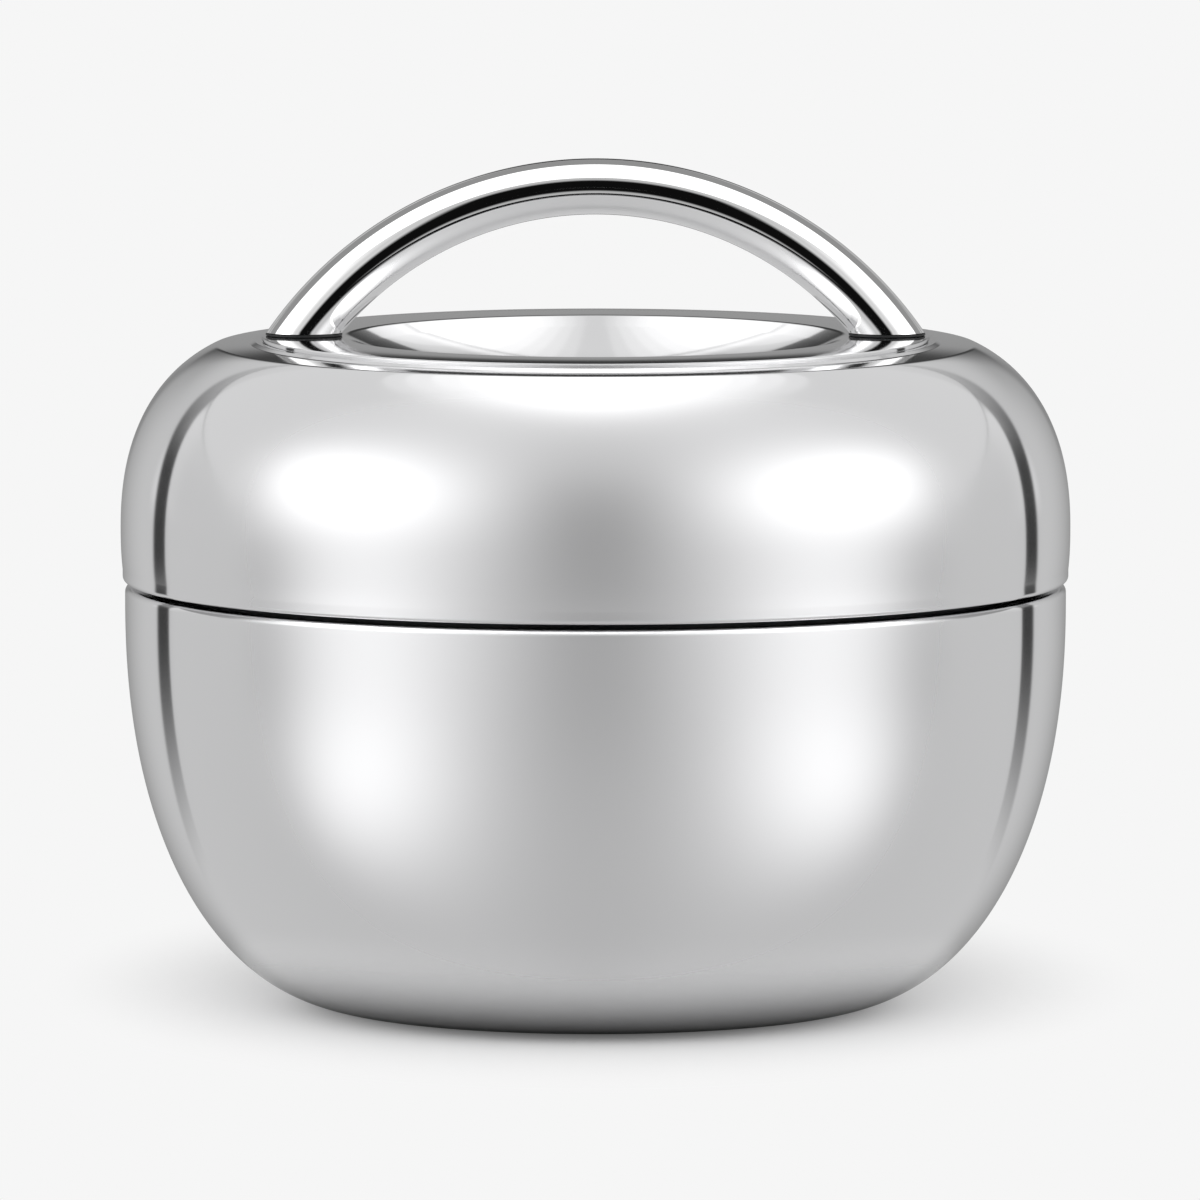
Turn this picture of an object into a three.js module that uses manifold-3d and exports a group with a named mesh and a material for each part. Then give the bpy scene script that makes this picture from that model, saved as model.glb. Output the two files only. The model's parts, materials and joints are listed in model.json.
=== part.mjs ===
// Insulated lunch box: a double-walled bowl of polished steel and a screw lid of the same steel,
// whose dished top carries an arched tube handle.
// Millimetres, +Z up. The origin is the middle of the face that the box stands on, and the arch of
// the handle lies in the XZ plane.
import * as THREE from "three";
import { mergeVertices } from "three/addons/utils/BufferGeometryUtils.js";
import Module from "manifold-3d";

// Outer form
const LID_RADIUS = 82.5; // widest radius of the lid
const LID_OVERHANG = 0.75; // the lid stands this far out past the bowl
const LID_HEIGHT = 43.6; // lower edge to the top of the shoulder's curve
const LID_BELT = 9; // lower edge to the widest level
const SHOULDER_REACH = 30.3; // radial half-width of the shoulder's curve
const SHOULDER_POWER = 2.3; // 2 would be an ellipse, more is squarer
const BOWL_HEIGHT = 73.8; // foot of the shell to its rim
const BOWL_BELT = 2.55; // rim to the widest level
const BOWL_REACH = 42.35; // radial half-width of the bowl's curve, which starts at the flat base
const BOWL_POWER = 2.2;
const EDGE_ROUND = 2; // rounding of the two edges that meet at the parting line
const RIM_GAP = 0.8; // open line between lid and bowl

// Sheet, plastic and clearances
const SHEET = 0.8; // pressed steel
const CAP_WALL = 2; // moulded plastic of the inner lid
const FIT = 0.25; // clearance between pieces that nest
const SEAT = 0.1; // clearance between faces that bear on each other
const RUN = 0.5; // radial clearance where the lid turns

// Neck, thread and seal
const RIM_WIDTH = 7.25; // widest wall of the bowl to the root of the thread
const NECK_HEIGHT = 10.5; // rim of the bowl to the top of the neck
const NECK_WALL = 3.45;
const NECK_CHAMFER = 0.8;
const SHOULDER_THICKNESS = 3; // flange of the neck under the bowl's rim
const GASKET_THICKNESS = 1; // neck gasket
const STARTS = 6;
const LEAD = 36; // rise of the thread in one turn
const THREAD_DEPTH = 1.5;
const THREAD_PLAY = 0.4; // upright clearance between the flanks
const LUG_CREST = 0.5; // share of a lug's width that is left at its crest
const LIP_SETBACK = 0.8; // turned-in edge of the lid stays this far behind the thread's root
const SEAL_WIDTH = 3;
const SEAL_HEIGHT = 2.4;
const SEAL_INSET = 0.6; // from the mouth of the food bowl
const SEAL_LIP = 0.75; // bevel of the seal's lower edges
const RIB_WALL = 2; // inner wall of the seal's groove
const RIB_CLEARANCE = 1.2; // from the food bowl's rim to the foot of the groove's walls

// Food bowl and insulation
const FLOOR_HEIGHT = 13; // floor of the food bowl over the foot of the shell
const LINER_REACH = 36; // radial half-width of the food bowl's curve
const LINER_POWER = 2.3;
const LINER_STRAIGHT = 16; // straight wall under the rim of the bowl
const LIP_ROUND = 1.2; // bend of the food bowl's rim
const LID_INSULATION = 6.6; // foam between the dish and the inner lid

// Base
const FOOT_PROUD = 0.5; // the foot ring holds the shell this far off the table
const FOOT_BAND = 5.4; // flat band of the shell round the recess
const RECESS_DEPTH = 2.6;
const RECESS_DRAFT = 0.8;
const BASE_LEDGE = 5; // shell left standing round the opening in the base
const CAP_SETBACK = 0.4; // base cap lies this far inside the foot of the shell
const SPIGOT_HEIGHT = 2.2;
const FOOT_RING_WIDTH = 4;
const FOOT_RING_HEIGHT = 2;
const FOOT_RING_INSET = 1.6; // from the edge of the base cap

// Dished top
const DISH_DEPTH = 9.5;
const BEAD_ROUND = 1; // rolled bead round the top of the lid
const LAND_DROP = 0.65; // the land lies this far under the bead
const LAND_MARGIN = 0.6; // land left on each side of the handle's foot
const LEDGE_SETBACK = 2; // the ledge under the land stops this far from the dish

// Handle
const HANDLE_SPAN = 101.2; // between the middles of the feet
const HANDLE_RISE = 25.4; // feet to the middle of the tube at the crown
const CROWN_RADIUS = 4.87;
const FOOT_RADIUS = 5.3; // the tube is a little stouter at its feet
const TUBE_WALL = 1.2;
const FOOT_GASKET = 0.8; // thickness
const GASKET_MARGIN = 0.2;
const FOOT_OVERRUN = 6.4; // length of tube that is cut off level at each foot
const PLUG_LENGTH = 11;
const STUD_RADIUS = 2;
const STUD_SPARE = 1; // stud past the nut
const WASHER_RADIUS = 4.5;
const WASHER_THICKNESS = 0.8;
const NUT_SIDES = 6;
const NUT_FLATS = 7; // across the flats
const NUT_HEIGHT = 3.2;

// Facets: pieces that nest share the stations, so their flats line up
const STATIONS = 32;
const FASTENER_STATIONS = 12;
const BOWL_STEPS = 8;
const SHOULDER_STEPS = 8;
const LINER_STEPS = 6;
const DISH_STEPS = 4;
const ROUND_STEPS = 2;
const TUBE_SIDES = 12;
const TUBE_STEPS = 22;
const PLUG_STEPS = 4;
const LUG_STEPS = 5;
const WELD = 1e-3;

// Levels and radii that follow from the sizes above
const footZ = FOOT_PROUD;
const bowlRadius = LID_RADIUS - LID_OVERHANG;
const bowlFlat = bowlRadius - BOWL_REACH;
const bowlRimZ = footZ + BOWL_HEIGHT;
const bowlBeltZ = bowlRimZ - BOWL_BELT;
const lidEdgeZ = bowlRimZ + RIM_GAP;
const lidBeltZ = lidEdgeZ + LID_BELT;
const shoulderRise = LID_HEIGHT - LID_BELT;
const shoulderCentre = LID_RADIUS - SHOULDER_REACH;

const neckOuter = bowlRadius - RIM_WIDTH;
const neckInner = neckOuter - NECK_WALL;
const neckTopZ = bowlRimZ + NECK_HEIGHT;
const neckShoulderZ = bowlRimZ - SHEET - SEAT - GASKET_THICKNESS - SEAT;
const neckFootZ = neckShoulderZ - SHOULDER_THICKNESS;
const neckShoulder = bowlRadius - SHEET - EDGE_ROUND / 2 - FIT;
const mouth = neckInner - FIT - SHEET;
const rimTopZ = neckTopZ + SEAT + SHEET;
const rimRadius = neckOuter - NECK_CHAMFER / 2;

const skirtInner = neckOuter + THREAD_DEPTH + RUN;
const skirtOuter = skirtInner + CAP_WALL;
const skirtFootZ = lidEdgeZ + SHEET + SEAT;
const lidLip = skirtInner + LIP_SETBACK;
const sealInner = mouth + SEAL_INSET;
const sealOuter = sealInner + SEAL_WIDTH;
const sealFootZ = rimTopZ + SEAT;
const grooveZ = sealFootZ + SEAL_HEIGHT + SEAT;
const ribFootZ = rimTopZ + RIB_CLEARANCE;
const domeRadius = sealInner - RUN - RIB_WALL;

const threadFootZ = skirtFootZ + THREAD_PLAY;
const threadTopZ = neckTopZ - NECK_CHAMFER;
const lugWidth = LEAD / STARTS / 2 - THREAD_PLAY;
const lugSweep = ((threadTopZ - threadFootZ - lugWidth) / LEAD) * 2 * Math.PI;
const lugMiddleZ = (threadTopZ + threadFootZ) / 2;

const footReach = HANDLE_SPAN / 2;
const archRadius = (footReach ** 2 + HANDLE_RISE ** 2) / (2 * HANDLE_RISE);
const archSweep = Math.asin(footReach / archRadius);
const footHalfLength = FOOT_RADIUS / Math.sin(archSweep);
const landRadius = footReach + footHalfLength + LAND_MARGIN;
const dishRadius = footReach - footHalfLength - LAND_MARGIN;
const beadWall = landRadius + FIT;
const beadRadius = beadWall + BEAD_ROUND;
const beadZ = lidBeltZ + curveHeight(beadRadius - shoulderCentre);
const landZ = beadZ - LAND_DROP;
const ledgeZ = landZ - SHEET - SEAT;
const ledgeEnd = dishRadius + LEDGE_SETBACK;
const dishCurve = (dishRadius ** 2 + DISH_DEPTH ** 2) / (2 * DISH_DEPTH);
const ceilingZ = landZ - DISH_DEPTH - SHEET - FIT - LID_INSULATION - FIT - CAP_WALL;

const gasketZ = landZ + SEAT;
const handleFootZ = gasketZ + FOOT_GASKET + SEAT;
const archCentreZ = handleFootZ + HANDLE_RISE - archRadius;
const washerZ = ledgeZ - SHEET - SEAT - WASHER_THICKNESS;
const nutZ = washerZ - SEAT - NUT_HEIGHT;
const studEndZ = nutZ - STUD_SPARE;

// Height of the lid's shoulder over its widest level, at a radius counted from the curve's centre.
function curveHeight(reach) {
  const share = Math.max(reach, 0) / SHOULDER_REACH;
  return shoulderRise * (1 - share ** SHOULDER_POWER) ** (1 / SHOULDER_POWER);
}

// Profiles: lists of [radius, height], with the piece on the left of its line.

// Pieces of a line end to end, without repeated points.
function line(...pieces) {
  const apart = (a, b) => Math.hypot(a[0] - b[0], a[1] - b[1]) > WELD;
  return pieces.flat().filter((point, i, all) => i === 0 || apart(point, all[i - 1]));
}

// Arc about [radius, height], between two angles in degrees from the outward direction.
function arc(r, z, radius, from, to, steps) {
  return Array.from({ length: steps + 1 }, (_, i) => {
    const angle = THREE.MathUtils.degToRad(from + ((to - from) * i) / steps);
    return [r + radius * Math.cos(angle), z + radius * Math.sin(angle)];
  });
}

// Superellipse about [r, z], between two turns counted from its widest level.
function swell(r, z, reach, rise, power, from, to, steps) {
  return Array.from({ length: steps + 1 }, (_, i) => {
    const turn = from + ((to - from) * i) / steps;
    const across = Math.max(Math.cos(turn), 0) ** (2 / power);
    const up = Math.sign(turn) * Math.abs(Math.sin(turn)) ** (2 / power);
    return [r + reach * across, z + rise * up];
  });
}

// Line at a distance to the left of another, with mitred corners.
function leftOf(points, distance) {
  const last = points.length - 1;
  const normal = (i) => {
    const [r, z] = [points[i + 1][0] - points[i][0], points[i + 1][1] - points[i][1]];
    return [-z / Math.hypot(r, z), r / Math.hypot(r, z)];
  };
  return points.map(([r, z], i) => {
    let a = normal(Math.max(i - 1, 0));
    let b = normal(Math.min(i, last - 1));
    if (r === 0 && i === 0) a = [-b[0], b[1]];
    if (r === 0 && i === last) b = [-a[0], a[1]];
    const k = distance / (1 + a[0] * b[0] + a[1] * b[1]);
    return [r + k * (a[0] + b[0]), z + k * (a[1] + b[1])];
  });
}

// Stretch of a line between two levels, with the points where it crosses them.
function between(points, low, high) {
  return points.flatMap((b, i) => {
    const a = points[Math.max(i - 1, 0)];
    const levels = a[1] < b[1] ? [low, high] : [high, low];
    const crossings = levels
      .filter((z) => (a[1] - z) * (b[1] - z) < 0)
      .map((z) => [a[0] + ((b[0] - a[0]) * (z - a[1])) / (b[1] - a[1]), z]);
    return b[1] >= low && b[1] <= high ? [...crossings, b] : crossings;
  });
}

// Closed profile of sheet steel that follows a line of its visible side.
function pressed(skin) {
  return [...skin, ...leftOf(skin, SHEET).reverse()];
}

// Upright ring section between two radii and two levels.
function ringSection(inner, outer, low, high) {
  return [[inner, low], [outer, low], [outer, high], [inner, high]];
}

// Solids

const wasm = await Module();
wasm.setup();

function solidOf(geometry) {
  const bare = new THREE.BufferGeometry();
  bare.setAttribute("position", geometry.getAttribute("position"));
  bare.setIndex(geometry.getIndex());
  const merged = mergeVertices(bare, WELD);
  const vertProperties = merged.getAttribute("position").array;
  const triVerts = new Uint32Array(merged.getIndex().array);
  return new wasm.Manifold(new wasm.Mesh({ numProp: 3, vertProperties, triVerts }));
}

function geometryOf(solid) {
  const mesh = solid.getMesh();
  const geometry = new THREE.BufferGeometry();
  geometry.setAttribute("position", new THREE.BufferAttribute(mesh.vertProperties, 3));
  geometry.setIndex(new THREE.BufferAttribute(mesh.triVerts, 1));
  geometry.computeVertexNormals();
  return geometry;
}

// Closed profile turned about the Z axis.
function turned(profile, stations = STATIONS) {
  const loop = profile[0][0] === 0 ? profile : [...profile, profile[0]];
  const points = loop.map(([r, z]) => new THREE.Vector2(r, z));
  return new THREE.LatheGeometry(points, stations).rotateX(Math.PI / 2);
}

// Surface through loops of points, each joined to the next and running clockwise for someone whom the
// surface comes towards. Left open, it gets a flat face at each end. Joined, its last loop meets its first.
function lofted(loops, joined = false) {
  const sides = loops[0].length;
  const rows = joined ? loops.length : loops.length - 1;
  const index = [];
  for (let row = 0; row < rows; row++) {
    for (let side = 0; side < sides; side++) {
      const [a, b] = [row * sides + side, row * sides + ((side + 1) % sides)];
      const step = (((row + 1) % loops.length) - row) * sides;
      index.push(a, b + step, b, a, a + step, b + step);
    }
  }
  const top = (loops.length - 1) * sides;
  for (let side = 1; !joined && side < sides - 1; side++) {
    index.push(0, side, side + 1, top, top + side + 1, top + side);
  }
  const geometry = new THREE.BufferGeometry().setFromPoints(loops.flat());
  return geometry.setIndex(index);
}

// Upright cylinder between two levels.
function post(x, radius, low, high, stations = FASTENER_STATIONS) {
  const geometry = new THREE.CylinderGeometry(radius, radius, high - low, stations);
  return solidOf(geometry.rotateX(Math.PI / 2).translate(x, 0, (low + high) / 2));
}

// Bowl

const bowlSkin = line(
  [[bowlFlat - FOOT_BAND - BASE_LEDGE, footZ + RECESS_DEPTH]],
  [[bowlFlat - FOOT_BAND - RECESS_DRAFT, footZ + RECESS_DEPTH]],
  [[bowlFlat - FOOT_BAND, footZ]],
  swell(
    bowlFlat, bowlBeltZ, BOWL_REACH, bowlBeltZ - footZ, BOWL_POWER, -Math.PI / 2, 0, BOWL_STEPS,
  ),
  arc(bowlRadius - EDGE_ROUND, bowlRimZ - EDGE_ROUND, EDGE_ROUND, 0, 90, ROUND_STEPS),
  [[neckOuter + FIT, bowlRimZ]],
);

const linerFlat = mouth - LINER_REACH;
const linerBeltZ = bowlRimZ - LINER_STRAIGHT;
const floorZ = footZ + FLOOR_HEIGHT;
const linerRise = linerBeltZ - floorZ;
const linerSkin = line(
  [[rimRadius, rimTopZ]],
  arc(mouth + LIP_ROUND, rimTopZ - LIP_ROUND, LIP_ROUND, 90, 180, ROUND_STEPS),
  swell(linerFlat, linerBeltZ, LINER_REACH, linerRise, LINER_POWER, 0, -Math.PI / 2, LINER_STEPS),
  [[0, floorZ]],
);

const recessRadius = bowlFlat - FOOT_BAND - RECESS_DRAFT;
const baseOpening = bowlFlat - FOOT_BAND - BASE_LEDGE;
const capRadius = recessRadius - FIT;
const capFootZ = footZ + CAP_SETBACK;
const capTopZ = footZ + RECESS_DEPTH - SEAT;
const spigotTopZ = capTopZ + SPIGOT_HEIGHT;
const footRingOuter = capRadius - FOOT_RING_INSET;
const footRingInner = footRingOuter - FOOT_RING_WIDTH;

// Disc with a spigot that enters the opening in the base, and a groove below for the foot ring.
function baseCapProfile() {
  const spigot = baseOpening - FIT;
  const grooveTopZ = FOOT_RING_HEIGHT + SEAT;
  return [
    [0, capFootZ],
    [footRingInner - FIT, capFootZ],
    [footRingInner - FIT, grooveTopZ],
    [footRingOuter + FIT, grooveTopZ],
    [footRingOuter + FIT, capFootZ],
    [capRadius, capFootZ],
    [capRadius, capTopZ],
    [spigot, capTopZ],
    [spigot, spigotTopZ],
    [spigot - CAP_WALL, spigotTopZ],
    [spigot - CAP_WALL, capTopZ],
    [0, capTopZ],
  ];
}

// Foam that fills the bowl from the base up to the flange of the neck.
function bowlFoamProfile() {
  const [lowZ, highZ] = [spigotTopZ + FIT, neckFootZ - FIT];
  return line(
    [[0, lowZ]],
    between(leftOf(bowlSkin, SHEET + FIT), lowZ, highZ),
    between(leftOf(linerSkin, SHEET + FIT), lowZ, highZ),
  );
}

// Collar with a flange that the bowl's rim is rolled over.
const neckProfile = [
  [neckInner, neckFootZ],
  [neckShoulder, neckFootZ],
  [neckShoulder, neckShoulderZ],
  [neckOuter, neckShoulderZ],
  [neckOuter, neckTopZ - NECK_CHAMFER],
  [neckOuter - NECK_CHAMFER, neckTopZ],
  [neckInner + NECK_CHAMFER, neckTopZ],
  [neckInner, neckTopZ - NECK_CHAMFER],
];

// Lugs of the thread: ridges that climb with the lead and run out at both ends. They grow from a wall
// at the root towards the crest, and are sunk in it by the clearance that the wall's flats need.
function withLugs(wall, root, crest, firstAngle) {
  const sunk = root - Math.sign(crest - root) * RUN;
  let solid = solidOf(wall);
  for (let start = 0; start < STARTS; start++) {
    const middle = firstAngle + (start * 2 * Math.PI) / STARTS;
    const loops = Array.from({ length: LUG_STEPS + 1 }, (_, i) => {
      const along = (i / LUG_STEPS - 0.5) * lugSweep;
      const runOut = i % LUG_STEPS === 0;
      const tip = runOut ? root : crest;
      const z = lugMiddleZ + (LEAD * along) / (2 * Math.PI);
      const [across, away] = [Math.cos(middle + along), Math.sin(middle + along)];
      const point = (radius, up) => new THREE.Vector3(radius * across, radius * away, z + up);
      const section = [
        point(sunk, -lugWidth / 2),
        point(tip, (-lugWidth * LUG_CREST) / 2),
        point(tip, (lugWidth * LUG_CREST) / 2),
        point(sunk, lugWidth / 2),
      ];
      return crest > root ? section : section.reverse();
    });
    solid = solid.add(solidOf(lofted(loops)));
  }
  return geometryOf(solid);
}

// Lid

const edgeTurn = -Math.asin(((LID_BELT - EDGE_ROUND) / shoulderRise) ** (SHOULDER_POWER / 2));
const beadTurn = Math.acos(
  (Math.max(beadRadius - shoulderCentre, 0) / SHOULDER_REACH) ** (SHOULDER_POWER / 2),
);
const shoulder = swell(
  shoulderCentre, lidBeltZ, SHOULDER_REACH, shoulderRise, SHOULDER_POWER, edgeTurn, beadTurn,
  SHOULDER_STEPS,
);
const edgeFlat = shoulder[0][0] - EDGE_ROUND;
const lidSkin = line(
  [[lidLip, lidEdgeZ]],
  arc(edgeFlat, lidEdgeZ + EDGE_ROUND, EDGE_ROUND, -90, 0, ROUND_STEPS),
  shoulder,
  arc(beadRadius, beadZ - BEAD_ROUND, BEAD_ROUND, 90, 180, ROUND_STEPS),
  [[beadWall, ledgeZ], [ledgeEnd, ledgeZ]],
);

// The dish is part of a sphere, and the land round it is flat.
const dishSlope = THREE.MathUtils.radToDeg(Math.asin(dishRadius / dishCurve));
const dishSkin = line(
  [[landRadius, landZ]],
  arc(0, landZ - DISH_DEPTH + dishCurve, dishCurve, dishSlope - 90, -90, DISH_STEPS).slice(0, -1),
  [[0, landZ - DISH_DEPTH]],
);

// Inner lid: skirt with the thread's lugs, groove for the seal, and a dome over the food.
const domeFootZ = grooveZ + CAP_WALL;
const domeRound = ceilingZ - domeFootZ;
const domeFlat = domeRadius - domeRound;
const linerFlange = edgeFlat - FIT;
const lidLinerTop = line(
  [[linerFlange, skirtFootZ + CAP_WALL], [skirtOuter, skirtFootZ + CAP_WALL]],
  [[skirtOuter, domeFootZ], [domeRadius + CAP_WALL, domeFootZ]],
  arc(domeFlat, domeFootZ, domeRound + CAP_WALL, 0, 90, ROUND_STEPS),
  [[0, ceilingZ + CAP_WALL]],
);
const lidLinerProfile = line(
  [[0, ceilingZ]],
  arc(domeFlat, domeFootZ, domeRound, 90, 0, ROUND_STEPS),
  [[domeRadius, ribFootZ], [sealInner - RUN, ribFootZ]],
  [[sealInner - RUN, grooveZ], [sealOuter + RUN, grooveZ]],
  [[sealOuter + RUN, ribFootZ], [skirtInner, ribFootZ]],
  [[skirtInner, skirtFootZ], [linerFlange, skirtFootZ]],
  lidLinerTop,
);

// Foam between the lid's steel and the inner lid, with a pocket round each nut.
function lidFoam() {
  const below = SHEET + FIT;
  const [lowZ, highZ] = [skirtFootZ + CAP_WALL + FIT, ledgeZ - below];
  const plasticSide = leftOf([...lidLinerTop].reverse(), FIT);
  const profile = line(
    plasticSide.filter(([, z]) => z > lowZ + WELD),
    [[skirtOuter + FIT, lowZ]],
    between(leftOf(shoulder, below), lowZ, highZ),
    [[ledgeEnd, highZ]],
    between(leftOf(dishSkin, below), studEndZ - DISH_DEPTH, highZ),
  );
  const pocket = WASHER_RADIUS + STUD_SPARE;
  const solid = [-footReach, footReach].reduce(
    (rest, x) => rest.subtract(post(x, pocket, studEndZ - STUD_SPARE, ledgeZ)),
    solidOf(turned(profile)),
  );
  return geometryOf(solid);
}

// Steel of the lid's top with a clearance hole for each stud.
function drilled(profile) {
  const hole = STUD_RADIUS + FIT;
  const solid = [-footReach, footReach].reduce(
    (rest, x) => rest.subtract(post(x, hole, studEndZ, handleFootZ)),
    solidOf(turned(profile)),
  );
  return geometryOf(solid);
}

// Handle

// Round loops along the arch, from one turn from the crown to another, with a radius for each turn.
function archLoops(from, to, radiusAt, steps) {
  return Array.from({ length: steps + 1 }, (_, i) => {
    const turn = from + ((to - from) * i) / steps;
    return Array.from({ length: TUBE_SIDES }, (_, side) => {
      const round = (2 * Math.PI * side) / TUBE_SIDES;
      const reach = archRadius + radiusAt(turn) * Math.cos(round);
      const y = radiusAt(turn) * Math.sin(round);
      return new THREE.Vector3(reach * Math.sin(turn), y, archCentreZ + reach * Math.cos(turn));
    });
  });
}

const tubeRadius = (turn) =>
  CROWN_RADIUS + (FOOT_RADIUS - CROWN_RADIUS) * (turn / archSweep) ** 2;
const boreRadius = (turn) => tubeRadius(turn) - TUBE_WALL;
const plugRadius = (turn) => boreRadius(turn) - FIT;
const overrun = archSweep + FOOT_OVERRUN / archRadius;

// What lies under the level of the feet.
function belowFeet() {
  const depth = 2 * archRadius;
  const box = new THREE.BoxGeometry(2 * depth, depth, depth);
  return solidOf(box.translate(0, 0, handleFootZ - depth / 2));
}

function handleTube() {
  const outside = archLoops(-overrun, overrun, tubeRadius, TUBE_STEPS);
  const inside = archLoops(overrun, -overrun, boreRadius, TUBE_STEPS);
  const tube = solidOf(lofted([...outside, ...inside], true));
  return geometryOf(tube.subtract(belowFeet()));
}

// Plug in the end of the tube, with a stud that hangs straight down through the lid's top.
function handlePlug(side) {
  const inner = archSweep - PLUG_LENGTH / archRadius;
  const [from, to] = side < 0 ? [-overrun, -inner] : [inner, overrun];
  const plug = solidOf(lofted(archLoops(from, to, plugRadius, PLUG_STEPS))).subtract(belowFeet());
  const stud = post(side * footReach, STUD_RADIUS, studEndZ, handleFootZ + TUBE_WALL);
  return geometryOf(plug.add(stud));
}

// Flat oval pad with a hole for the stud.
function footGasket(side) {
  const outline = new THREE.Shape();
  const [long, wide] = [footHalfLength + GASKET_MARGIN, FOOT_RADIUS + GASKET_MARGIN];
  outline.absellipse(0, 0, long, wide, 0, 2 * Math.PI, false, 0);
  const hole = new THREE.Path();
  hole.absarc(0, 0, STUD_RADIUS + FIT, 0, 2 * Math.PI, true);
  outline.holes.push(hole);
  const pad = { depth: FOOT_GASKET, bevelEnabled: false, curveSegments: FASTENER_STATIONS };
  return new THREE.ExtrudeGeometry(outline, pad).translate(side * footReach, 0, gasketZ);
}

function studWasher(side) {
  const top = washerZ + WASHER_THICKNESS;
  const section = ringSection(STUD_RADIUS + FIT, WASHER_RADIUS, washerZ, top);
  return turned(section, FASTENER_STATIONS).translate(side * footReach, 0, 0);
}

function studNut(side) {
  const corner = NUT_FLATS / 2 / Math.cos(Math.PI / NUT_SIDES);
  const outline = new THREE.Shape();
  for (let i = 0; i < NUT_SIDES; i++) {
    const angle = (i * 2 * Math.PI) / NUT_SIDES;
    outline[i ? "lineTo" : "moveTo"](corner * Math.cos(angle), corner * Math.sin(angle));
  }
  const hole = new THREE.Path();
  hole.absarc(0, 0, STUD_RADIUS + FIT, 0, 2 * Math.PI, true);
  outline.holes.push(hole);
  const block = { depth: NUT_HEIGHT, bevelEnabled: false, curveSegments: FASTENER_STATIONS };
  return new THREE.ExtrudeGeometry(outline, block).translate(side * footReach, 0, nutZ);
}

// Seal with a lower lip that bears on the food bowl's rim.
const sealProfile = [
  [sealInner + SEAL_LIP, sealFootZ],
  [sealOuter - SEAL_LIP, sealFootZ],
  [sealOuter, sealFootZ + SEAL_LIP],
  [sealOuter, sealFootZ + SEAL_HEIGHT],
  [sealInner, sealFootZ + SEAL_HEIGHT],
  [sealInner, sealFootZ + SEAL_LIP],
];

// Materials

function material(color, roughness, metalness) {
  return new THREE.MeshStandardMaterial({ color, roughness, metalness });
}
const polishedSteel = () => material("#d4d5d6", 0.12, 1);
const brushedSteel = () => material("#c2c4c6", 0.35, 1);
const darkPlastic = () => material("#2b2d2f", 0.5, 0);
const palePlastic = () => material("#d9dadb", 0.45, 0);
const blackSilicone = () => material("#151617", 0.6, 0);
const clearSilicone = () => material("#e6e7e6", 0.5, 0);
const foam = () => material("#e9dcb8", 0.9, 0);

// Assembly

const lunchBox = new THREE.Group();
const bowl = new THREE.Group();
const lid = new THREE.Group();
lunchBox.add(bowl, lid);

function place(group, name, geometry, finish) {
  const mesh = new THREE.Mesh(geometry, finish);
  mesh.name = name;
  group.add(mesh);
}

const neckGasket = ringSection(
  neckOuter + FIT, neckShoulder, neckShoulderZ + SEAT, neckShoulderZ + SEAT + GASKET_THICKNESS,
);
const footRing = ringSection(footRingInner, footRingOuter, 0, FOOT_RING_HEIGHT);

place(bowl, "bowl_outer_shell", turned(pressed(bowlSkin)), polishedSteel());
place(bowl, "bowl_inner_liner", turned(pressed(linerSkin)), brushedSteel());
place(bowl, "bowl_insulation", turned(bowlFoamProfile()), foam());
const neckCrest = neckOuter + THREAD_DEPTH;
place(bowl, "neck_ring", withLugs(turned(neckProfile), neckOuter, neckCrest, 0), darkPlastic());
place(bowl, "neck_gasket", turned(neckGasket), blackSilicone());
place(bowl, "base_cap", turned(baseCapProfile()), darkPlastic());
place(bowl, "foot_ring", turned(footRing), blackSilicone());

place(lid, "lid_outer_shell", drilled(pressed(lidSkin)), polishedSteel());
place(lid, "lid_dish", drilled(pressed(dishSkin)), polishedSteel());
place(lid, "lid_insulation", lidFoam(), foam());
const skirtCrest = skirtInner - THREAD_DEPTH;
const halfPitch = Math.PI / STARTS;
const lidLiner = withLugs(turned(lidLinerProfile), skirtInner, skirtCrest, halfPitch);
place(lid, "lid_liner", lidLiner, palePlastic());
place(lid, "lid_seal", turned(sealProfile), clearSilicone());
place(lid, "handle_tube", handleTube(), polishedSteel());
for (const [name, side] of [["left", -1], ["right", 1]]) {
  place(lid, `handle_plug_${name}`, handlePlug(side), brushedSteel());
  place(lid, `foot_gasket_${name}`, footGasket(side), blackSilicone());
  place(lid, `stud_washer_${name}`, studWasher(side), brushedSteel());
  place(lid, `stud_nut_${name}`, studNut(side), brushedSteel());
}

export default lunchBox;
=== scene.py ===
# %% [markdown]
# # Insulated lunch box of polished steel
#
# A double-walled bowl, a screw lid with a dished top, and an arched tube handle. Nearly every piece
# is a body of revolution, so one function that turns a profile about the Z axis makes most of them.
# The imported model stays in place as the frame: it says where each piece is and how the lid moves.

import json
import math

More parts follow.
